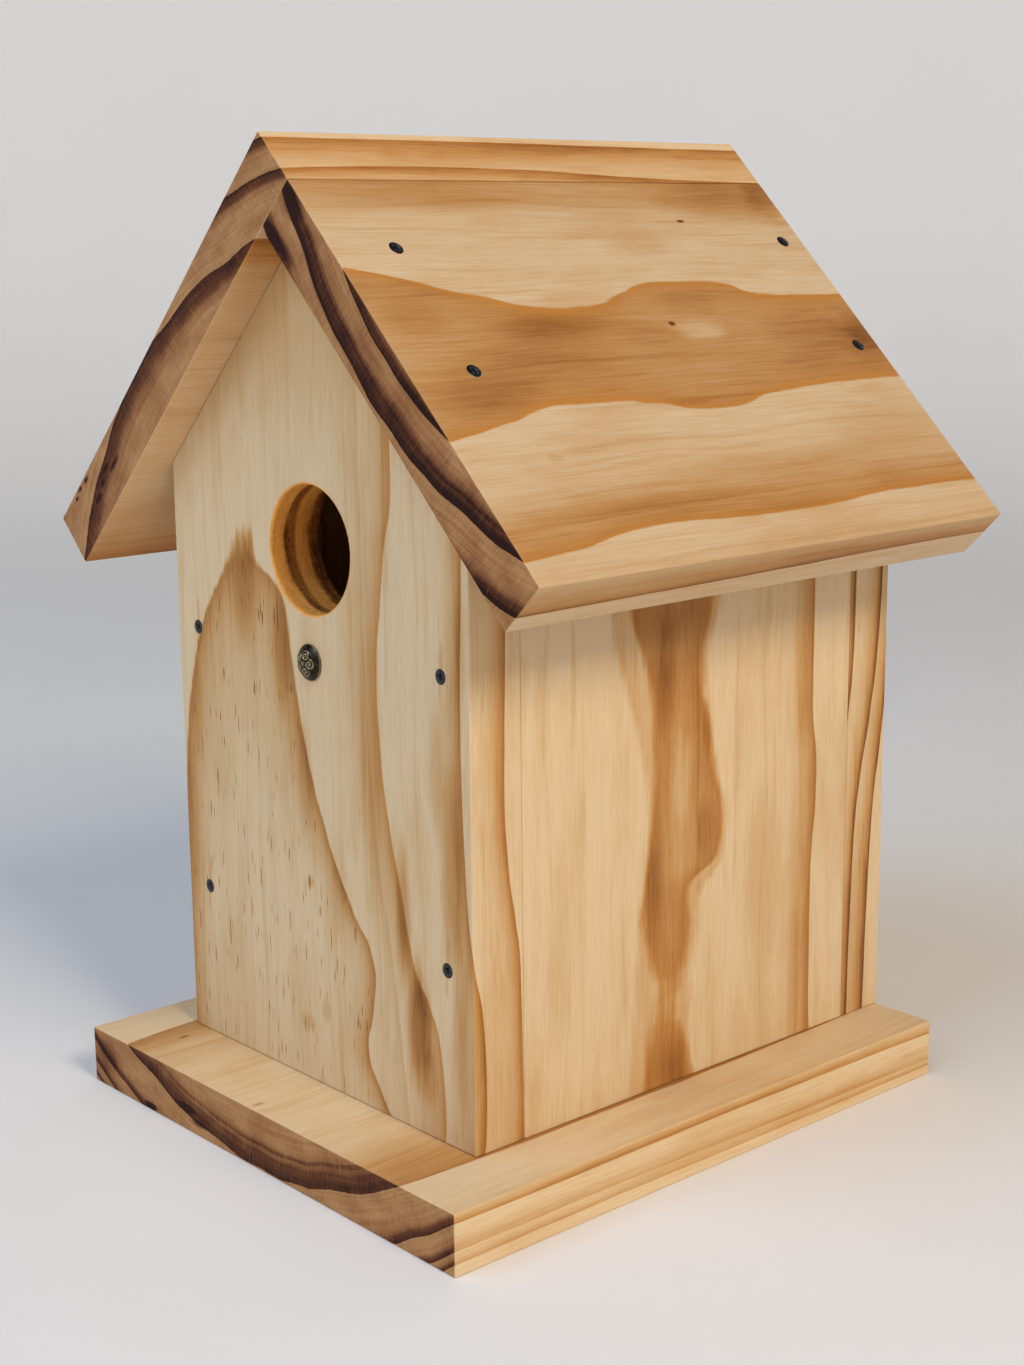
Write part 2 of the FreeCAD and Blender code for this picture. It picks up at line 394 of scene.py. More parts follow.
def pine(name, board):
    """Clear-finished pine, its growth rings running through the solid board."""
    tree = Tree(name)
    place = tree.place()
    grain = board_grain(tree, place, board)
    texture = wood_texture(tree, grain)
    shades = [ring_shade(tree, ring, grain) for ring in board.rings]
    late = together(tree, [shade.body for shade in shades])
    amber = together(tree, [shade.rim for shade in shades])
    amount = face_darkness(tree, board, grain, texture, shades, late)
    end_amount = end_darkness(tree, board, grain, texture, shades)

    normal = tree.nodes.new("ShaderNodeNewGeometry").outputs["True Normal"]
    facing = tree.math("ABSOLUTE", tree.along(normal, board.along))
    end = tree.smooth(facing, 0.45, 0.95)
    face = tree.mix(amber, tree.ramp(amount, FACE_COLOURS), (*AMBER, 1.0))
    # Painted light and shade: each board's face colour is scaled by its own tint.
    face = tree.mix(1.0, face, (*board.tint, 1.0), "MULTIPLY")
    colour = tree.mix(end, face, tree.ramp(end_amount, END_COLOURS))
    if board.bored:
        colour = bored(tree, place, grain.depth, texture.pores, colour)
    tree.plug(colour, tree.shader.inputs["Base Color"])

    gloss = amount * 0.10 + (texture.fibre - 0.5) * 0.12
    tree.plug(0.52 - gloss + end * 0.20, tree.shader.inputs["Roughness"])
    tree.shader.inputs["Specular IOR Level"].default_value = WOOD_SHINE
    end_relief = end * (texture.pores * 1.8 + texture.saw * 1.4)
    relief = texture.fibre * 0.5 + texture.thread * 0.5 - late * 0.5 + end_relief
    tree.bump(relief, WOOD_RELIEF, 0.6)
    return tree.material


def bored(tree, place, depth, pores, colour):
    """The wall of the entrance hole, cut across the grain by a hole saw."""
    x = tree.along(place, Vector((1, 0, 0)) / MM) - HOLE.x / MM
    z = tree.along(place, Vector((0, 0, 1)) / MM) - HOLE.z / MM
    radius = tree.math("SQRT", x * x + z * z)
    wall = tree.smooth(radius, HOLE_RADIUS + 0.9, HOLE_RADIUS + 0.3)
    turn = tree.math("ARCTAN2", x, z)
    rings = tree.noise(turn * 1.5, depth * 0.33, 0.0, detail=4.0, rough=0.65)
    scratch = tree.noise(turn * 22.0, depth * 0.8, 0.0, detail=2.0)
    wall_darkness = tree.curve(depth + (rings - 0.5) * 4.0, BORE_DARKNESS_BY_DEPTH)
    amount = wall_darkness + (rings - 0.5) * 0.8 + (scratch - 0.5) * 0.5 + (pores - 0.5) * 0.5
    # Painted light: the wall's colours are lightened to stand in for the lamps' light on it.
    return tree.mix(wall, colour, tree.ramp(amount, BORE_COLOURS))


# ---------------------------------------------------------------- the boards' figure
X, Y, Z = Vector((1, 0, 0)), Vector((0, 1, 0)), Vector((0, 0, 1))
RIGHT_DOWN = Vector((DIAGONAL, 0, -DIAGONAL))
LEFT_DOWN = Vector((-DIAGONAL, 0, -DIAGONAL))


def screw_smears(node_start, origin, across, along):
    """Brown smears along the grain, above and below each screw head of one board."""
    smears = []
    for node in sorted(frame["nodes"]):
        if node.startswith(node_start):
            low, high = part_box(node)
            offset = (low + high) / 2 - origin
            u, s = offset.dot(across) / MM, offset.dot(along) / MM
            smears.append(Mark(u + 0.3, s - 4.5, 1.3, 7.5, 0.20, 0.35))
            smears.append(Mark(u - 0.4, s + 4.0, 1.0, 5.5, 0.16, 0.35))
    return smears


def front_board():
    origin = Vector((PANEL_LOW.x, PANEL_LOW.y, PANEL_HIGH.z))
    flame = Ring(   # points up at the hole's left side
        left=[(0, 90), (60, 70), (80, 48), (90, 41), (97, 32), (104, 25), (120, 13.5), (140, 6),
              (165, 1.5), (200, 0), (256, -1)],
        right=[(0, 0), (60, 16), (80, 28), (90, 34), (97, 42), (107, 57), (125, 61), (150, 66),
               (175, 75), (196, 87), (212, 97), (224, 96), (238, 93), (248, 98), (256, 104)],
        cup=0.0062, fade=2.8, strength=0.70, rim=0.22, rim_fade=0.35, soft=0.28, jag=0.8,
        band=3.5, flecks=0.62,
    )
    sinuous = Ring(   # right of the hole, all the way down
        left=-60,
        right=[(0, 108), (55, 109), (72, 109), (85, 106), (105, 103), (125, 101), (145, 102),
               (165, 105), (185, 110), (205, 115), (217, 122.5), (230, 127), (250, 128.5), (256, 128)],
        fade=5.0, strength=0.52, rim=0.62, rim_fade=0.7, soft=0.3,
    )
    thin = Ring(
        left=-60,
        right=[(0, 93), (80, 95), (120, 95.5), (150, 97), (180, 100), (200, 104), (256, 112)],
        fade=1.8, strength=0.20, rim=0.0, soft=0.8, jag=1.0, band=2.0,
    )
    by_the_edge = Ring(
        left=-80,
        right=[(0, 140), (90, 138.5), (130, 137.3), (170, 138.5), (200, 141.8), (220, 145.5),
               (235, 146), (256, 144)],
        fade=4.0, strength=0.72,
    )
    edge_band = Ring(
        left=-60,
        right=[(0, 155), (110, 154.5), (150, 154.3), (170, 155.5), (190, 158.5), (205, 160.3),
               (256, 161)],
        fade=3.5, strength=0.8,
    )
    marks = [
        Mark(37, 110, 9, 19, 0.24), Mark(55, 124, 6, 24, 0.26), Mark(65, 158, 5, 24, 0.20),
        Mark(9, 150, 4, 26, 0.14), Mark(4, 185, 5, 40, 0.14),
        Mark(117, 222, 7, 26, 0.62), Mark(111, 190, 5, 30, 0.40), Mark(122, 238, 4, 12, 0.26),
        Mark(133, 170, 6, 38, 0.34), Mark(127, 148, 5, 24, 0.20), Mark(136, 222, 5, 40, 0.26),
        Mark(99, 150, 5, 60, 0.14), Mark(138, 110, 3, 24, 0.20),
        Mark(94, 150, 2.0, 45, 0.14), Mark(97, 78, 1.6, 28, 0.10), Mark(24, 62, 5, 34, 0.08),
        # Mark(62, 18, 60, 50, 0.20) is painted shade: it darkens the top of the front under the roof's
        # overhang.
        Mark(62, 18, 60, 50, 0.20), Mark(30, 50, 18, 40, 0.06), Mark(50, 50, 3, 40, 0.07),
        Mark(66, 192, 1.1, 3.2, 0.70, 0.2), Mark(71, 200, 0.8, 2.4, 0.45, 0.2),
        Mark(88, 203, 0.8, 4, 0.35, 0.2),
        Mark(63, 237, 4.6, 4.2, 0.20, 0.15), Mark(72.5, 231, 3.2, 5.6, 0.20, 0.15),
    ]
    rings = (flame, sinuous, thin, by_the_edge, edge_band)
    smears = screw_smears("front_screw", origin, X, -Z)
    return Board(origin, X, -Z, Y, rings, marks + smears, bored=True)


def right_side_board():
    figure = Ring(   # the broad figure in the middle; it closes near the foot and opens again
        left=[(0, 52), (40, 62), (60, 69), (80, 71), (100, 70), (115, 68), (130, 66), (142, 69),
              (150, 73), (156, 78), (160, 78), (166, 71), (186, 67)],
        right=[(0, 98), (40, 94), (58, 90), (72, 92.5), (90, 96), (106, 99.5), (115, 98), (121, 90),
               (127, 84), (136, 84.5), (146, 82.5), (151, 80), (156, 76), (160, 73), (166, 79),
               (186, 88)],
        cup=0.009, fade=3.6, strength=0.60, rim=0.30, rim_fade=0.5, soft=0.5, jag=1.0,
    )
    faint = Ring(
        left=[(0, 50), (40, 54.5), (60, 60), (80, 66), (100, 69), (130, 65), (186, 62)],
        right=[(0, 104), (40, 97), (60, 92), (90, 97), (110, 101), (130, 88), (186, 84)],
        cup=0.009, fade=2.5, strength=0.26, rim=0.05, soft=0.8, jag=1.5,
    )
    near_back = Ring(
        left=-50,
        right=[(0, 141.5), (75, 141), (100, 143.3), (120, 142), (140, 141.3), (186, 142.5)],
        fade=5.0, strength=0.70, rim=0.30,
    )
    back_edge = Ring(left=-60, right=176, fade=5.0, strength=0.8)
    marks = [
        Mark(82, 88, 5.5, 22, -0.20), Mark(92, 108, 6, 14, 0.20), Mark(71, 120, 5, 30, 0.16),
        # Mark(78, 38, 24, 15, 0.30) darkens the figure's top: partly its own darker wood, partly painted
        # shade under the right eave.
        Mark(78, 38, 24, 15, 0.30), Mark(75, 60, 6, 20, 0.12),
        Mark(75, 55, 8, 26, 0.16), Mark(93, 76, 3, 14, 0.16), Mark(77, 180, 8, 12, 0.16),
        Mark(26, 62, 4, 30, 0.10), Mark(38, 60, 1.6, 34, 0.12), Mark(32, 140, 8, 34, 0.11),
        Mark(118, 130, 12, 42, 0.17), Mark(110, 75, 7, 22, 0.05), Mark(58, 150, 4, 30, 0.07),
        Mark(134, 160, 4, 40, 0.16), Mark(136, 70, 3, 40, 0.14), Mark(22, 175, 5, 18, 0.10),
    ]
    origin = Vector((SIDE_HIGH.x, PANEL_LOW.y, SIDE_TOP))
    return Board(origin, Y, -Z, -X, (figure, faint, near_back, back_edge), marks)


def left_side_board():
    figure = Ring(
        left=[(0, 88), (30, 78), (60, 66), (90, 60), (130, 52), (186, 45)],
        right=[(0, 60), (30, 76), (60, 86), (90, 92), (130, 103), (186, 108)],
        cup=0.006, fade=4.0, strength=0.62, rim=0.2, soft=0.6, jag=1.4, flecks=0.3,
    )
    middle = Ring(
        left=[(0, 30), (90, 26), (186, 22)], right=[(0, 128), (80, 133), (186, 139)], strength=0.66,
    )
    outer = Ring(left=8, right=[(0, 168), (90, 164), (186, 166)], strength=0.7)
    marks = [Mark(76, 96, 9, 26, 0.2), Mark(120, 60, 6, 40, 0.12), Mark(34, 130, 5, 40, 0.12),
             Mark(60, 28, 1.2, 3, 0.6, 0.2)]
    origin = Vector((LEFT_SIDE_LOW.x, PANEL_LOW.y, SIDE_TOP))
    return Board(origin, Y, -Z, X, (figure, middle, outer), marks)


def back_board():
    rings = (
        Ring(
            left=-40,
            right=[(0, 145), (108, 144.3), (130, 144), (153, 141.5), (170, 139.5), (256, 138)],
            fade=3.0, strength=1.0, rim=0.1,
        ),
        Ring(
            left=-40,
            right=[(0, 160), (108, 159.2), (130, 158), (155, 154.4), (175, 149.8), (195, 147),
                   (220, 145.8), (256, 144.6)],
            fade=2.8, strength=1.0, rim=0.1,
        ),
        Ring(
            left=-40,
            right=[(0, 170), (108, 168), (145, 163.9), (165, 161.1), (190, 157.4), (210, 156.2),
                   (256, 154.4)],
            fade=3.0, strength=1.0, rim=0.1,
        ),
        Ring(
            left=[(0, 80), (70, 60), (256, 34)], right=[(0, 50), (70, 72), (256, 108)],
            cup=0.0045, fade=3.5, strength=0.6, soft=0.5, jag=1.2,
        ),
    )
    origin = Vector((BACK_LOW.x, BACK_LOW.y, BACK_HIGH.z))
    marks = [Mark(90, 150, 8, 40, 0.14)]
    return Board(origin, X, -Z, Y, rings, marks + screw_smears("back_screw", origin, X, -Z))


def base_board():
    rings = (
        Ring(
            left=[(0, 36), (204, 44)], right=[(0, 146), (204, 138)],
            cup=0.0035, fade=2.5, strength=0.16, rim=0.0, band=2.0, end=0.30,
        ),
        Ring(
            left=[(0, 21), (100, 17), (204, 17)], right=[(0, 161), (90, 163), (204, 160)],
            cup=0.0036, fade=5.5, strength=0.70, rim=0.20, band=9.0, end=0.84,
        ),
        Ring(
            left=-5, right=[(0, 188), (60, 189), (120, 189), (204, 191)],
            cup=0.0035, fade=2.4, strength=0.62, rim=0.2, band=4.0, end=0.80,
        ),
        Ring(
            left=-15, right=[(0, 200), (204, 203)],
            cup=0.0035, fade=2.4, strength=0.34, rim=0.1, band=3.0, end=0.80,
        ),
        Ring(left=-22, right=205, cup=0.0035, fade=2.0, strength=0.40, rim=0.1, band=2.6, end=0.8),
    )
    marks = [
        Mark(28, 17, 1.4, 3.0, 0.45, 0.2), Mark(89, 3.5, 1.4, 3.0, 0.40, 0.2), Mark(150, 14, 9, 40, 0.20),
        Mark(24, 60, 5, 60, 0.16), Mark(70, 14, 20, 12, 0.06),
    ]
    blotches = [
        Blotch(54, 11, 7.5, 1.7), Blotch(34, 17, 5.0, 1.6), Blotch(61, 14.5, 6.0, 1.4, 0.5),
        Blotch(8, 8, 12, 9, 0.35), Blotch(89.5, 15.8, 0.7, 1.7, 0.5),
    ]
    origin = Vector((BASE_LOW.x, BASE_LOW.y, BASE_HIGH.z))
    # Painted light: the base's tint lightens its faces to make up for too little light on its top.
    return Board(origin, X, Y, -Z, rings, marks, blotches, tint=(1.07, 1.06, 1.04))


def right_roof():
    eave_edge = [(0, 180), (60, 178), (110, 176.5), (140, 175), (190, 174)]
    rings = (
        Ring(   # the broad wavy band down the middle
            left=[(0, 52), (20, 58), (40, 65), (72, 70.5), (95, 65), (108, 61.5), (122, 61), (138, 62),
                  (151, 67.5), (190, 70)],
            right=[(0, 112), (25, 107), (50, 102.5), (80, 104.5), (103, 108.3), (125, 105),
                   (150, 103), (190, 102)],
            cup=0.0046, fade=9.0, strength=0.53, rim=0.95, rim_fade=0.42, soft=0.12, jag=0.3,
            band=5.0, end=1.0,
        ),
        Ring(
            left=20, right=[(0, 143), (100, 140), (190, 139)],
            cup=0.0033, fade=1.2, strength=0.20, rim=0.05, band=1.4, end=0.45,
        ),
        Ring(
            left=[(0, 10), (190, 13)],
            right=[(0, 151.5), (20, 150), (60, 146), (80, 147), (120, 147), (150, 145), (190, 145)],
            cup=0.0033, fade=5.0, strength=0.58, rim=0.85, rim_fade=0.9, band=7.5, end=1.0,
        ),
        Ring(
            left=-13, right=eave_edge,
            cup=0.0033, fade=7.0, strength=0.66, rim=0.0, band=6.5, end=1.0,
        ),
        Ring(
            left=-13, right=eave_edge,
            cup=0.0033, fade=0.7, strength=0.55, rim=0.0, band=1.0, end=0.2,
        ),
    )
    marks = [
        Mark(35.5, 140.2, 0.9, 2.2, 1.2, 0.2), Mark(35.5, 134, 0.8, 12, 0.2, 0.3),
        Mark(77, 106.4, 1.2, 1.8, 0.8, 0.2), Mark(80, 117, 6.5, 13, -0.22, 0.9),
        Mark(121, 31, 3, 4, 0.12),
        Mark(25, 40, 8, 55, 0.18), Mark(27, 165, 12, 40, 0.30), Mark(44, 115, 8, 18, 0.14),
        Mark(76, 60, 9, 40, 0.10), Mark(84, 165, 16, 30, 0.12), Mark(66, 75, 5, 22, 0.14),
        # Mark(18.5, 95, 0.9, 400, ...) is painted shade in the seam where the left board's edge meets
        # this face.
        Mark(18.5, 95, 0.9, 400, 0.45, 0.1),
        Mark(131, 110, 6, 60, 0.16), Mark(140, 60, 7, 70, 0.14), Mark(126, 165, 8, 34, 0.12),
        Mark(96, 20, 10, 30, 0.12), Mark(27, 100, 5, 90, 0.14), Mark(24, 186, 16, 14, 0.26, 0.9),
        Mark(84, 187, 12, 12, 0.26, 0.9), Mark(88, 40, 12, 46, 0.10), Mark(76, 58, 7, 24, 0.16, 0.8),
        Mark(70, 12, 10, 16, 0.14, 0.9), Mark(100, 20, 8, 26, 0.12, 0.9),
        Mark(90, 182, 16, 16, 0.14, 0.9), Mark(82, 96, 5, 20, 0.12, 0.8),
    ]
    blotches = [Blotch(24, 3, 8, 6, 0.45), Blotch(28, 15, 12, 3, 0.6), Blotch(90, 9, 110, 14, 0.08)]
    # Painted shade: the right roof's tint darkens the slope that the key lamp lights strongly.
    return Board(RIDGE, RIGHT_DOWN, Y, LEFT_DOWN, rings, marks, blotches, tint=(0.90, 0.88, 0.90))


def left_roof():
    rings = (
        Ring(
            left=[(0, 22), (190, 30)], right=[(0, 168), (190, 160)],
            cup=0.00347, fade=5.5, strength=0.72, rim=0.3, band=9.0, end=0.86,
        ),
        Ring(
            left=[(0, -5.6), (50, -7), (90, -6.2), (110, -4.9), (135, -2.8), (160, -1.4), (190, -0.3)],
            right=200, cup=0.0035, fade=3.0, strength=0.80, band=4.6, end=0.9,
        ),
        Ring(left=-21.5, right=214, cup=0.0035, fade=8.0, strength=0.74, band=5.0, end=0.85),
    )
    marks = [
        Mark(80, 4, 60, 14, 0.04), Mark(60, 90, 14, 60, 0.18), Mark(120, 60, 10, 70, 0.16),
        Mark(30, 120, 8, 60, 0.14),
    ]
    blotches = [
        Blotch(133, BOARD - 7, 3.2, 1.0), Blotch(138, BOARD - 9, 2.4, 0.9),
        Blotch(143.5, BOARD - 10.5, 3.0, 1.2), Blotch(145, BOARD - 1.6, 2.2, 0.9),
        Blotch(150, BOARD - 1.2, 2.0, 0.8), Blotch(154, BOARD - 2, 1.6, 0.8),
        Blotch(128, BOARD - 9.5, 5.0, 1.2, 0.5),
    ]
    origin = RIDGE + RIGHT_DOWN * BOARD * MM
    # Painted light: the left roof's warm tint stands in for warm light bounced onto its underside.
    return Board(origin, LEFT_DOWN, Y, -RIGHT_DOWN, rings, marks, blotches, tint=(1.03, 0.96, 0.91))


BOARDS = {
    "front_panel": front_board(),
    "back_panel": back_board(),
    "right_side": right_side_board(),
    "left_side": left_side_board(),
    "base_board": base_board(),
    "right_roof_board": right_roof(),
    "left_roof_board": left_roof(),
}


# ---------------------------------------------------------------- metal
def metal(name, dark, bright, roughness, relief):
    """Dark patinated metal, bright where it is worn. `relief` names the mesh attribute that
    is 1 on raised places."""
    tree = Tree(name)
    place = tree.place()
    x, y, z = (tree.along(place, axis / MM) for axis in (X, Y, Z))
    scuff = tree.noise(x * 0.9, y * 0.9, z * 0.9, detail=4.0, rough=0.65)
    grime = tree.noise(x * 3.5, y * 3.5, z * 3.5, detail=2.0)
    attribute = tree.nodes.new("ShaderNodeAttribute")
    attribute.attribute_name = relief
    raised = Num(tree, attribute.outputs["Fac"])
    worn = tree.math("ADD", raised * (0.45 + scuff * 0.8), (scuff - 0.5) * 0.35, clamp=True)
    tree.plug(tree.mix(worn, (*dark, 1.0), (*bright, 1.0)), tree.shader.inputs["Base Color"])
    tree.plug(roughness + (grime - 0.5) * 0.25 - worn * 0.08, tree.shader.inputs["Roughness"])
    tree.shader.inputs["Metallic"].default_value = 1.0
    tree.bump(scuff * 0.5 + grime * 0.5, 0.00003, 0.4)
    return tree.material


# ---------------------------------------------------------------- fasteners
# A fastener is drawn along +Z in mm with its point at z = 0, as rings of vertices: each ring
# gives the radius and height at an angle, and how raised (0 to 1) the metal is there.
SCREW_HEAD_RADIUS = 2.25
SCREW_CROWN = 0.4
SCREW_HEAD_DEPTH = 2.2
SCREW_NECK_RADIUS = 1.3
SCREW_NECK_LENGTH = 16.0
SCREW_ROOT, SCREW_CREST = 1.15, 1.72
SCREW_PITCH = 2.0
SCREW_POINT = 3.5
RECESS_RADIUS, RECESS_LOBE = 1.22, 0.15
RECESS_DEPTH = 1.3
RECESS_DISH = 0.25              # the recess floor's middle is this much lower
SCREW_AROUND = 36               # vertices in one ring
TACK_HEAD_RADIUS = 5.5
TACK_DOME = 2.6
TACK_RIM = 0.5
TACK_SHANK_RADIUS = 0.8
TACK_POINT = 2.5
TACK_RELIEF = 0.30              # height of the ornament
TACK_AROUND = 180
DOME_RINGS = 46
BOSS_RADIUS = 0.62
CURLS = 5
CURL_PLACE = 2.55               # from the tack's middle to a curl's middle
CURL_PITCH = 0.92
CURL_RADIUS = 1.65
GROOVE_PLACE, GROOVE_WIDTH = 4.25, 0.14


def dome(radius, height, r):
    """Height of a spherical cap of that rim radius and height, at distance r from its axis."""
    sphere = (radius ** 2 + height ** 2) / (2 * height)
    return math.sqrt(max(sphere ** 2 - r ** 2, 0.0)) - sphere + height


def plain(radius, z, raised=0.0):
    """A round ring."""
    return lambda angle: (radius, z, raised)


def screw_rings(length):
    """Trim-head screw: point, threads, neck, cone, low dome and six-lobed drive recess."""
    rim = length - SCREW_CROWN
    thread_top = rim - SCREW_NECK_LENGTH

    def thread(z):
        def ring(angle):
            turn = (z / SCREW_PITCH - angle / math.tau) % 1.0
            runout = min(1.0, (thread_top - z) / SCREW_PITCH)
            tooth = max(0.0, 1.0 - abs(2.0 * turn - 1.0) * 1.7) * runout
            radius = SCREW_ROOT + (SCREW_CREST - SCREW_ROOT) * tooth
            return radius * min(1.0, z / SCREW_POINT), z, tooth * 0.4
        return ring

    def lobed(scale, z, raised=0.0):
        def ring(angle):
            return RECESS_RADIUS * scale * (1.0 + RECESS_LOBE * math.cos(6 * angle)), z, raised
        return ring

    def cap(radius, raised):
        return plain(radius, rim + dome(SCREW_HEAD_RADIUS, SCREW_CROWN, radius), raised)

    step = SCREW_PITCH / 6
    rings = [thread(step * i) for i in range(1, int(thread_top / step))]
    rings += [
        plain(SCREW_NECK_RADIUS, thread_top),
        plain(SCREW_NECK_RADIUS, rim - SCREW_HEAD_DEPTH),
        plain(SCREW_HEAD_RADIUS - 0.06, rim - 0.16),
        plain(SCREW_HEAD_RADIUS, rim - 0.06, 0.6),
        plain(SCREW_HEAD_RADIUS - 0.03, rim, 0.6),
        cap(2.10, 0.45), cap(1.90, 0.25), cap(1.65, 0.2),
        lobed(1.08, rim + dome(SCREW_HEAD_RADIUS, SCREW_CROWN, 1.3), 0.5),
        lobed(1.0, rim + dome(SCREW_HEAD_RADIUS, SCREW_CROWN, 1.2) - 0.06, 0.3),
        lobed(0.94, length - RECESS_DEPTH),
    ]
    return rings, length - RECESS_DEPTH - RECESS_DISH


def tack_relief(radius, angle):
    """Ornament on the tack's dome: a boss, a wreath of scroll curls and a groove inside a smooth rim."""
    height = math.exp(-(radius / BOSS_RADIUS) ** 2)
    for i in range(CURLS):
        centre = i * math.tau / CURLS
        x = radius * math.cos(angle) - CURL_PLACE * math.cos(centre)
        y = radius * math.sin(angle) - CURL_PLACE * math.sin(centre)
        own_radius = math.hypot(x, y)
        own_angle = math.atan2(y, x) - centre
        coil = (own_radius / CURL_PITCH - own_angle / math.tau) % 1.0
        ridge = max(0.0, math.cos((coil - 0.5) * math.pi * 1.5))
        inside = min(1.0, max(0.0, (CURL_RADIUS - own_radius) / 0.25))
        height = max(height, ridge * inside)
    groove = math.exp(-((radius - GROOVE_PLACE) / GROOVE_WIDTH) ** 2)
    return height - 0.35 * groove


def tack_rings(length):
    """Upholstery tack: pointed shank, flat underside, short rim and embossed dome."""
    seat = length - TACK_DOME - TACK_RIM

    def embossed(radius):
        def ring(angle):
            relief = tack_relief(radius, angle)
            z = seat + TACK_RIM + dome(TACK_HEAD_RADIUS, TACK_DOME - TACK_RELIEF, radius)
            return radius, z + relief * TACK_RELIEF, relief
        return ring

    rings = [
        plain(TACK_SHANK_RADIUS, TACK_POINT),
        plain(TACK_SHANK_RADIUS, seat + 0.1),
        plain(TACK_HEAD_RADIUS - 0.5, seat + 0.1),
        plain(TACK_HEAD_RADIUS - 0.12, seat),
        plain(TACK_HEAD_RADIUS, seat + 0.12, 0.3),
        plain(TACK_HEAD_RADIUS, seat + TACK_RIM - 0.1, 0.5),
        plain(TACK_HEAD_RADIUS - 0.08, seat + TACK_RIM, 0.5),
    ]
    edge = TACK_HEAD_RADIUS - 0.2
    rings += [embossed(edge * (1 - i / DOME_RINGS)) for i in range(DOME_RINGS)]
    return rings, length


def ring_mesh(name, rings, top, around):
    """Mesh through rings of vertices, closed by the point at z = 0 and a middle at z = top."""
    mesh = bmesh.new()
    layer = mesh.verts.layers.float.new("raised")
    angles = [math.tau * i / around for i in range(around)]
    point = mesh.verts.new((0, 0, 0))
    middle = mesh.verts.new((0, 0, top * MM))
    loops = []
    for ring in rings:
        loop = []
        for angle in angles:
            radius, z, raised = ring(angle)
            place = Vector((radius * math.cos(angle), radius * math.sin(angle), z))
            vert = mesh.verts.new(place * MM)
            vert[layer] = raised
            loop.append(vert)
        loops.append(loop)
    for i in range(around):
        j = (i + 1) % around
        mesh.faces.new((point, loops[0][j], loops[0][i]))
        mesh.faces.new((middle, loops[-1][i], loops[-1][j]))
        for lower, upper in zip(loops, loops[1:]):
            mesh.faces.new((lower[i], lower[j], upper[j], upper[i]))
    for face in mesh.faces:
        face.smooth = True
    data = bpy.data.meshes.new(name)
    mesh.to_mesh(data)
    mesh.free()
    return data


def span(node, outward):
    """(tip, length in mm) of a CAD fastener whose head looks outward."""
    verts = sorted((v.co.dot(outward), v.index) for v in frame["nodes"][node].data.vertices)
    tip = frame["nodes"][node].data.vertices[verts[0][1]].co.copy()
    return tip, (verts[-1][0] - verts[0][0]) / MM


def fastener(node, outward, mesh, tip, body):
    """Stands the detailed fastener in the place of its CAD node."""
    made = bpy.data.objects.new(f"{node}_detail", mesh)
    bpy.context.collection.objects.link(made)
    turn = outward.to_track_quat("Z", "Y").to_matrix().to_4x4()
    made.matrix_world = Matrix.Translation(tip) @ turn
    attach(made, body)
    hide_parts(node)


def screw_outward(node):
    """The way a screw's head looks, from its name."""
    if node.startswith("front"):
        return -Y
    if node.startswith("back"):
        return Y
    if node.startswith("base"):
        return -Z
    return -LEFT_DOWN if node.startswith("right") else -RIGHT_DOWN


# ---------------------------------------------------------------- stage, lights, camera
FLOOR_PROFILE = (               # radius and height of the floor, in metres
    (0.4, 0.0), (1.0, 0.0), (1.6, 0.0), (2.1, 0.10), (2.45, 0.40), (2.6, 0.9), (2.62, 1.6),
)
FLOOR_STEPS = 72
FLOOR_COLOURS = ((0.0, (0.84, 0.805, 0.765)), (1.0, (0.88, 0.845, 0.805)))
WALL_GLOW = 0.19                # the wall's own light, none near the object
GLOW_START, GLOW_END = 0.7, 2.5
GLOW_COLOUR = (1.0, 0.985, 0.965, 1.0)
LIGHTS = (                      # name, azimuth, elevation, distance, size, power, colour
    ("key", 82, 38, 2.0, 0.6, 22, (1.0, 0.885, 0.725)),
    ("fill", -5, 48, 2.0, 1.5, 23, (0.50, 0.70, 1.0)),
)
WORLD_COLOUR = (0.97, 0.98, 1.0)
WORLD_STRENGTH = 0.14
CAMERA_AIM = Vector((0.00197, 0.0002, 0.13334))
CAMERA_AZIMUTH, CAMERA_ELEVATION, CAMERA_ROLL = 48.4876, 12.1602, -0.5929
CAMERA_DISTANCE = 0.6621
CAMERA_LENS = 55.24
SENSOR_WIDTH = 36.0


def away_from(azimuth, elevation):
    """Unit vector towards that azimuth (0 is the front, 90 the right) and elevation."""
    a, e = math.radians(azimuth), math.radians(elevation)
    return Vector((math.sin(a) * math.cos(e), -math.cos(a) * math.cos(e), math.sin(e)))


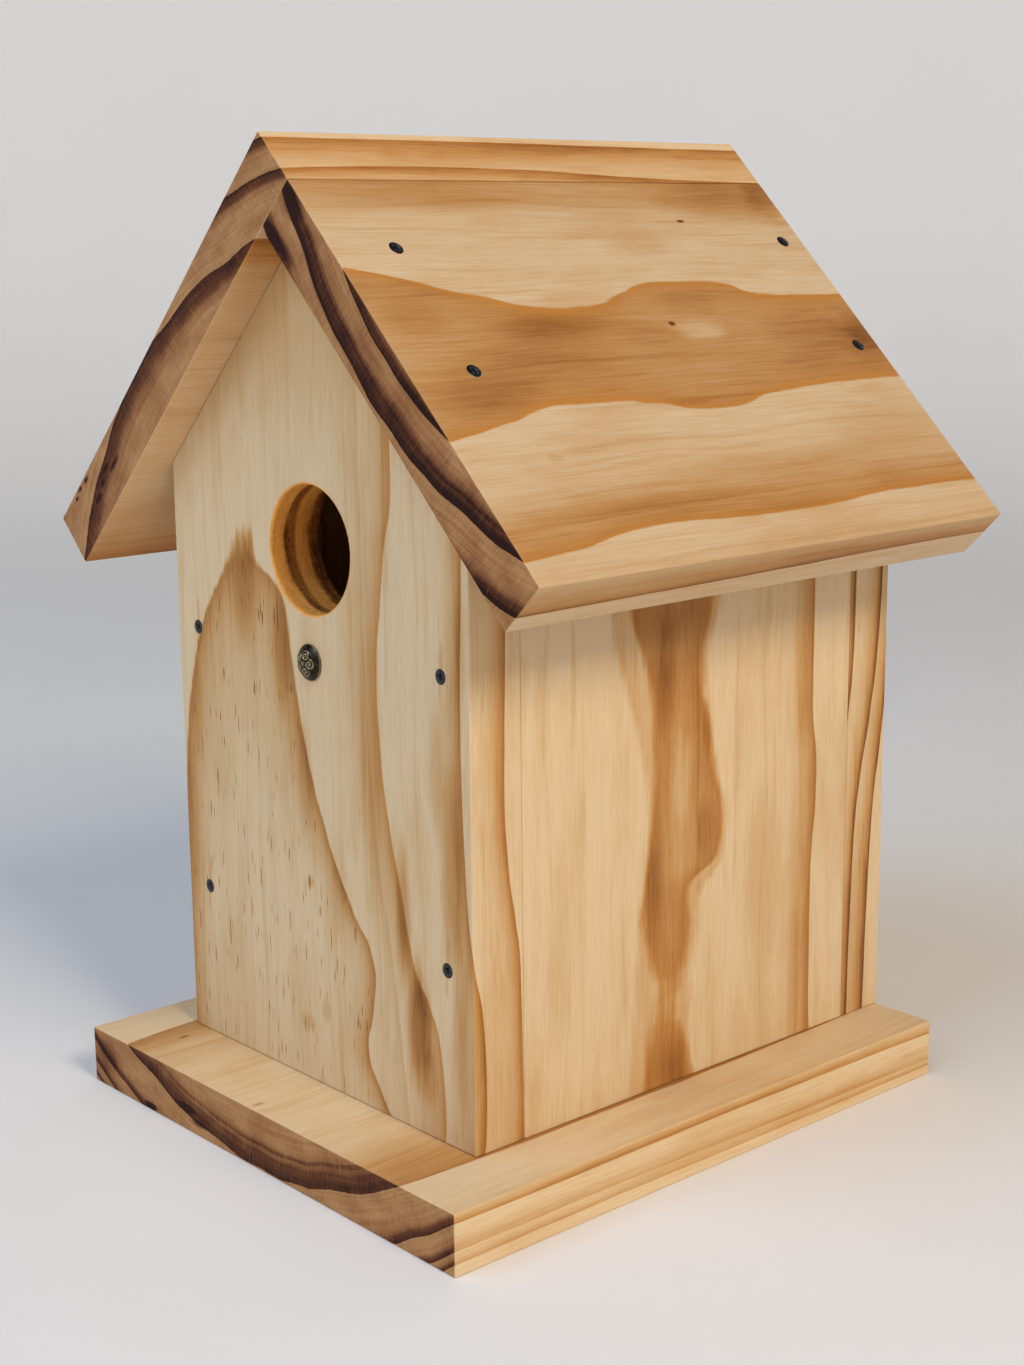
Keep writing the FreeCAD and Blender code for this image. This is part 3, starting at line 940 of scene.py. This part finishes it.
def stage_floor():
    """Pale floor that curves up into a wall all round, far from the object."""
    mesh = bmesh.new()
    centre = mesh.verts.new((0, 0, BASE_LOW.z))
    loops = []
    angles = [math.tau * i / FLOOR_STEPS for i in range(FLOOR_STEPS)]
    for radius, height in FLOOR_PROFILE:
        points = [(radius * math.cos(a), radius * math.sin(a), BASE_LOW.z + height) for a in angles]
        loops.append([mesh.verts.new(point) for point in points])
    for i in range(FLOOR_STEPS):
        j = (i + 1) % FLOOR_STEPS
        mesh.faces.new((centre, loops[0][i], loops[0][j]))
        for inner, outer in zip(loops, loops[1:]):
            mesh.faces.new((inner[i], outer[i], outer[j], inner[j]))
    for face in mesh.faces:
        face.smooth = True
    data = bpy.data.meshes.new("floor")
    mesh.to_mesh(data)
    mesh.free()
    floor = bpy.data.objects.new("floor", data)
    bpy.context.collection.objects.link(floor)
    tree = Tree("pale_floor")
    place = tree.place()
    cloth = tree.noise(tree.along(place, X * 6), tree.along(place, Y * 6), 0.0, detail=4.0)
    tree.plug(tree.ramp(cloth, FLOOR_COLOURS), tree.shader.inputs["Base Color"])
    x, y = tree.along(place, X), tree.along(place, Y)
    radius = tree.math("SQRT", x * x + y * y)
    glow = tree.smooth(radius, GLOW_START, GLOW_END) * WALL_GLOW
    tree.plug(GLOW_COLOUR, tree.shader.inputs["Emission Color"])
    tree.plug(glow, tree.shader.inputs["Emission Strength"])
    tree.shader.inputs["Roughness"].default_value = 0.8
    data.materials.append(tree.material)


def area_light(name, azimuth, elevation, distance, size, power, colour):
    """Soft square light that looks at the middle of the object."""
    data = bpy.data.lights.new(name, "AREA")
    data.size = size
    data.energy = power
    data.color = colour
    light = bpy.data.objects.new(name, data)
    away = away_from(azimuth, elevation)
    light.location = (cad_low + cad_high) / 2 + away * distance
    light.rotation_mode = "QUATERNION"
    light.rotation_quaternion = (-away).to_track_quat("-Z", "Y")
    bpy.context.collection.objects.link(light)


def world_light():
    """Faint even light from all round."""
    world = bpy.data.worlds.new("studio")
    world.use_nodes = True
    background = world.node_tree.nodes["Background"]
    background.inputs["Color"].default_value = (*WORLD_COLOUR, 1.0)
    background.inputs["Strength"].default_value = WORLD_STRENGTH
    bpy.context.scene.world = world


def camera():
    """Camera that looks at a point near the middle of the object."""
    data = bpy.data.cameras.new("camera")
    data.lens = CAMERA_LENS
    data.sensor_width = SENSOR_WIDTH
    away = away_from(CAMERA_AZIMUTH, CAMERA_ELEVATION)
    level = (-away).to_track_quat("-Z", "Y").to_matrix()
    turn = level @ Matrix.Rotation(math.radians(CAMERA_ROLL), 3, "Z")
    made = bpy.data.objects.new("camera", data)
    made.matrix_world = Matrix.Translation(CAMERA_AIM + away * CAMERA_DISTANCE) @ turn.to_4x4()
    bpy.context.collection.objects.link(made)
    bpy.context.scene.camera = made


# ---------------------------------------------------------------- putting it together
def finish_node(node, material):
    """Gives a CAD node its material."""
    shown = frame["nodes"][node]
    shown.data.materials.clear()
    shown.data.materials.append(material)


for node, board in BOARDS.items():
    finish_node(node, pine(f"pine_{node}", board))

black = metal("black_screw_steel", (0.020, 0.020, 0.023), (0.16, 0.16, 0.17), 0.34, "raised")
brass = metal("antique_brass", (0.028, 0.023, 0.016), (0.44, 0.34, 0.18), 0.26, "raised")
screws = sorted(node for node in frame["nodes"] if "screw" in node)
screw_length = span(screws[0], screw_outward(screws[0]))[1]
screw_mesh = ring_mesh("trim_screw", *screw_rings(screw_length), around=SCREW_AROUND)
screw_mesh.materials.append(black)
for node in screws:
    finish_node(node, black)
    outward = screw_outward(node)
    tip = span(node, outward)[0]
    body = "base" if node.startswith("base") else "house"
    fastener(node, outward, screw_mesh, tip, body)

tack_tip, tack_length = span("tack", -Y)
tack_mesh = ring_mesh("embossed_tack", *tack_rings(tack_length), around=TACK_AROUND)
tack_mesh.materials.append(brass)
finish_node("tack", brass)
fastener("tack", -Y, tack_mesh, tack_tip, "house")

stage_floor()
camera()
for light in LIGHTS:
    area_light(*light)
world_light()
bpy.context.scene.view_settings.view_transform = "Standard"
